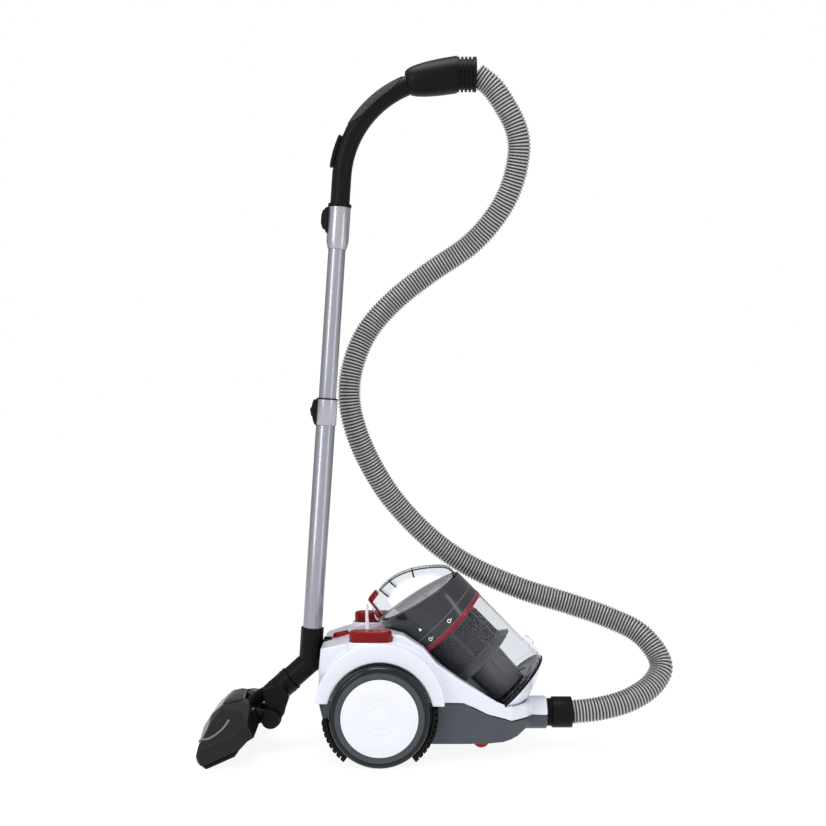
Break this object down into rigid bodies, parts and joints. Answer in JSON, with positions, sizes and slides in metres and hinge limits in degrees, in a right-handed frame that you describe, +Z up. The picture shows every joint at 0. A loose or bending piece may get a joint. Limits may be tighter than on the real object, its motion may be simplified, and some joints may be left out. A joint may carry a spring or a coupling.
{
  "type": "canister vacuum cleaner",
  "caption": "Bagless canister vacuum cleaner parked upright: wheeled body with tilted dust bin, ribbed hose, telescopic wand and floor head.",
  "frame": {"origin": "on the floor, at the middle of the object's footprint box without its hose", "axes": "+X to the front (hose socket), +Y to the left side, +Z up"},
  "size_m": [0.826, 0.272, 1.2084],
  "materials": {
    "shell_white": "high gloss",
    "shell_slate": "satin",
    "grille_black": "satin",
    "black_plastic": "satin",
    "dark_rubber": "matte",
    "tyre_slate": "satin with a glossy rim",
    "steel": "brushed",
    "motor_grey": "matte",
    "motor_metal": "laminated",
    "filter_white": "pleated paper",
    "board_green": "matte",
    "pedal_red": "high gloss",
    "ring_crimson": "metallic gloss",
    "cup_clear": "smoked clear",
    "handle_clear": "clear",
    "housing_smoke": "gloss",
    "shroud_grey": "perforated",
    "cyclone_grey": "satin",
    "lid_silver": "satin silver",
    "foam": "open foam",
    "tube_silver": "satin silver paint",
    "grip_soft": "grained",
    "bristle": "bristle",
    "hose_silver": "satin ribs"
  },
  "bodies": {
    "root": {"upper_housing": "shell_white", "lower_housing": "shell_slate", "wheel_grilles": "grille_black", "inlet_duct": "black_plastic", "latch_hook": "handle_clear", "parking_slot": "black_plastic", "dust_indicator": "pedal_red", "steel_axles": "steel", "motor_housing": "motor_grey", "motor_core": "motor_metal", "motor_mount": "dark_rubber", "hepa_filter": "filter_white", "cord_outlet": "black_plastic", "circuit_board": "board_green", "housing_screws": "steel", "outlet_gasket": "dark_rubber", "power_spring": "steel", "rewind_spring": "steel", "hose_lower_run": "hose_silver"},
    "impeller": {"impeller": "motor_grey"},
    "cord_reel": {"cord_reel": "grille_black"},
    "power_pedal": {"power_pedal": "pedal_red"},
    "rewind_pedal": {"rewind_pedal": "pedal_red"},
    "left_wheel": {"left_tyre": "tyre_slate", "left_wheel_disc": "shell_white"},
    "right_wheel": {"right_tyre": "tyre_slate", "right_wheel_disc": "shell_white"},
    "caster": {"caster_fork": "pedal_red"},
    "caster_roller": {"caster_roller": "pedal_red"},
    "bin": {"bin_cup": "cup_clear", "bin_base": "shell_white"},
    "bin_head": {"bin_housing": "housing_smoke", "red_ring": "ring_crimson", "bin_lid": "lid_silver", "bin_handle": "handle_clear", "pre_filter": "foam", "cyclone_body": "cyclone_grey", "mesh_shroud": "shroud_grey"},
    "release_button": {"release_button": "pedal_red"},
    "wand": {"neck": "black_plastic", "lower_tube": "tube_silver", "slider_collar": "black_plastic", "hose_upper_run": "hose_silver"},
    "tube_slider": {"tube_slider": "black_plastic"},
    "upper_wand": {"upper_tube": "tube_silver", "tube_collar": "tube_silver", "handle_tube": "black_plastic", "handle_barrel": "black_plastic", "grip_pad": "grip_soft"},
    "tube_release": {"tube_release": "black_plastic"},
    "air_valve": {"air_valve": "black_plastic"},
    "handle_cuff": {"handle_cuff": "black_plastic"},
    "body_cuff": {"body_cuff": "black_plastic"},
    "neck_sleeve": {"neck_sleeve": "black_plastic"},
    "neck_rollers": {"neck_rollers": "black_plastic"},
    "floor_head": {"head_shell": "grille_black", "sole_plate": "black_plastic", "neck_bellows": "dark_rubber"},
    "foot_pedal": {"foot_pedal": "grille_black"},
    "brush_strips": {"brush_strips": "bristle"}
  },
  "joints": [
    {"name": "impeller_spin", "type": "hinge", "parent": "root", "child": "impeller", "pos_m": [-0.03836, 0, 0.108], "axis": [0, 1, 0], "continuous": true},
    {"name": "cord_reel_spin", "type": "hinge", "parent": "root", "child": "cord_reel", "pos_m": [-0.03836, -0.055, 0.108], "axis": [0, 1, 0], "continuous": true},
    {"name": "power_pedal_press", "type": "slide", "parent": "root", "child": "power_pedal", "axis": [0, 0, -1], "range_m": [0, 0.004], "stiffness_N_per_m": 700, "springref_m": -0.004, "deforming": ["power_spring"]},
    {"name": "rewind_pedal_press", "type": "slide", "parent": "root", "child": "rewind_pedal", "axis": [0, 0, -1], "range_m": [0, 0.004], "stiffness_N_per_m": 700, "springref_m": -0.004, "deforming": ["rewind_spring"]},
    {"name": "left_wheel_spin", "type": "hinge", "parent": "root", "child": "left_wheel", "pos_m": [-0.01336, 0.115, 0.084], "axis": [0, 1, 0], "continuous": true},
    {"name": "right_wheel_spin", "type": "hinge", "parent": "root", "child": "right_wheel", "pos_m": [-0.01336, -0.115, 0.084], "axis": [0, 1, 0], "continuous": true},
    {"name": "caster_swivel", "type": "hinge", "parent": "root", "child": "caster", "pos_m": [0.17464, 0, 0.032], "axis": [0, 0, 1], "continuous": true},
    {"name": "caster_roll", "type": "hinge", "parent": "caster", "child": "caster_roller", "pos_m": [0.16064, 0, 0.015], "axis": [0, 1, 0], "continuous": true},
    {"name": "bin_lift", "type": "slide", "parent": "root", "child": "bin", "axis": [0, 0, 1], "range_m": [0, 0.12]},
    {"name": "bin_head_twist", "type": "hinge", "parent": "bin", "child": "bin_head", "pos_m": [0.10034, 0, 0.2147], "axis": [-0.7071, 0, 0.7071], "range_deg": [0, 20]},
    {"name": "bin_release_press", "type": "slide", "parent": "bin_head", "child": "release_button", "axis": [0.7071, 0, -0.7071], "range_m": [0, 0.003], "stiffness_N_per_m": 500, "springref_m": -0.003},
    {"name": "wand_lift", "type": "slide", "parent": "root", "child": "wand", "axis": [0, 0, 1], "range_m": [0, 0.08], "deforming": ["hose_lower_run"]},
    {"name": "tube_slider_press", "type": "slide", "parent": "wand", "child": "tube_slider", "axis": [0.0645, 0, 0.9979], "range_m": [0, 0.005], "stiffness_N_per_m": 400, "springref_m": -0.004},
    {"name": "tube_extend", "type": "slide", "parent": "wand", "child": "upper_wand", "axis": [0.0645, 0, 0.9979], "range_m": [-0.2, 0.12], "deforming": ["hose_upper_run"]},
    {"name": "tube_release_press", "type": "slide", "parent": "upper_wand", "child": "tube_release", "axis": [0.9979, 0, -0.0645], "range_m": [0, 0.003], "stiffness_N_per_m": 400, "springref_m": -0.003},
    {"name": "air_valve_slide", "type": "hinge", "parent": "upper_wand", "child": "air_valve", "pos_m": [0.10143, 0, 0.98591], "axis": [0, 1, 0], "range_deg": [0, 2.5]},
    {"name": "handle_cuff_swivel", "type": "hinge", "parent": "upper_wand", "child": "handle_cuff", "pos_m": [0.11863, 0, 1.17645], "axis": [1, 0, 0], "continuous": true},
    {"name": "body_cuff_swivel", "type": "hinge", "parent": "root", "child": "body_cuff", "pos_m": [0.27464, 0, 0.061], "axis": [1, 0, 0], "continuous": true},
    {"name": "neck_swivel", "type": "hinge", "parent": "wand", "child": "neck_sleeve", "pos_m": [-0.13801, 0, 0.15002], "axis": [-0.7455, 0, -0.6665], "range_deg": [-60, 60]},
    {"name": "neck_roller_spin", "type": "hinge", "parent": "neck_sleeve", "child": "neck_rollers", "pos_m": [-0.20301, 0, 0.05802], "axis": [0, 1, 0], "continuous": true},
    {"name": "head_tilt", "type": "hinge", "parent": "neck_sleeve", "child": "floor_head", "pos_m": [-0.20301, 0, 0.05802], "axis": [0, 1, 0], "range_deg": [0, 30], "deforming": ["neck_bellows"]},
    {"name": "foot_pedal_rock", "type": "hinge", "parent": "floor_head", "child": "foot_pedal", "pos_m": [-0.26588, 0, 0.08367], "axis": [0, 1, 0], "range_deg": [0, 8]},
    {"name": "brush_drop", "type": "slide", "parent": "floor_head", "child": "brush_strips", "axis": [0.4067, 0, -0.9135], "range_m": [0, 0.005]}
  ],
  "couplings": [
    {"joint": "brush_drop", "follows": "foot_pedal_rock", "m_per_rad": 0.03581}
  ]
}
